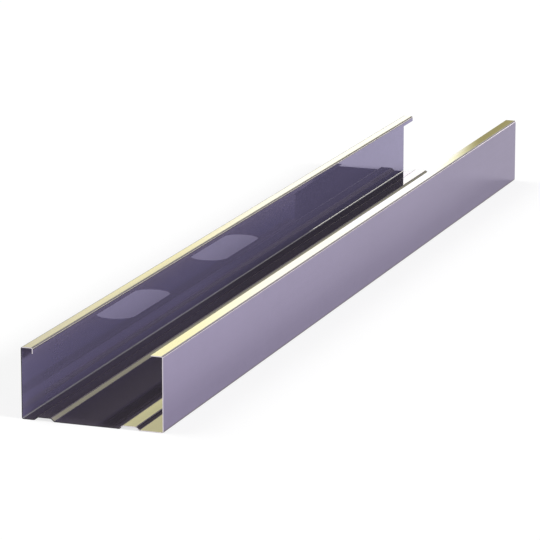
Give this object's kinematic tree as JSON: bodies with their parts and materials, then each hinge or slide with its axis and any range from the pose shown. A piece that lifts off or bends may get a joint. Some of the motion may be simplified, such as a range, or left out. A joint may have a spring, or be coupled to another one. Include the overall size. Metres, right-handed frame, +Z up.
{
  "type": "drywall metal stud",
  "caption": "Cold-rolled C-section steel stud for drywall framing: unequal lipped flanges, a ribbed web and oblong service openings.",
  "frame": {"origin": "on the floor under the middle of the stud's box: mid-length, midway between the outer faces of the flanges, at the underside of the web", "axes": "+Z up from the web to the lips; +Y along the stud; +X across the web, towards the taller flange"},
  "size_m": [0.0988, 0.8, 0.051],
  "materials": {
    "galvanised_steel": "smooth zinc coating, bright and mirror-like"
  },
  "bodies": {
    "root": {"stud": "galvanised_steel"}
  },
  "joints": []
}
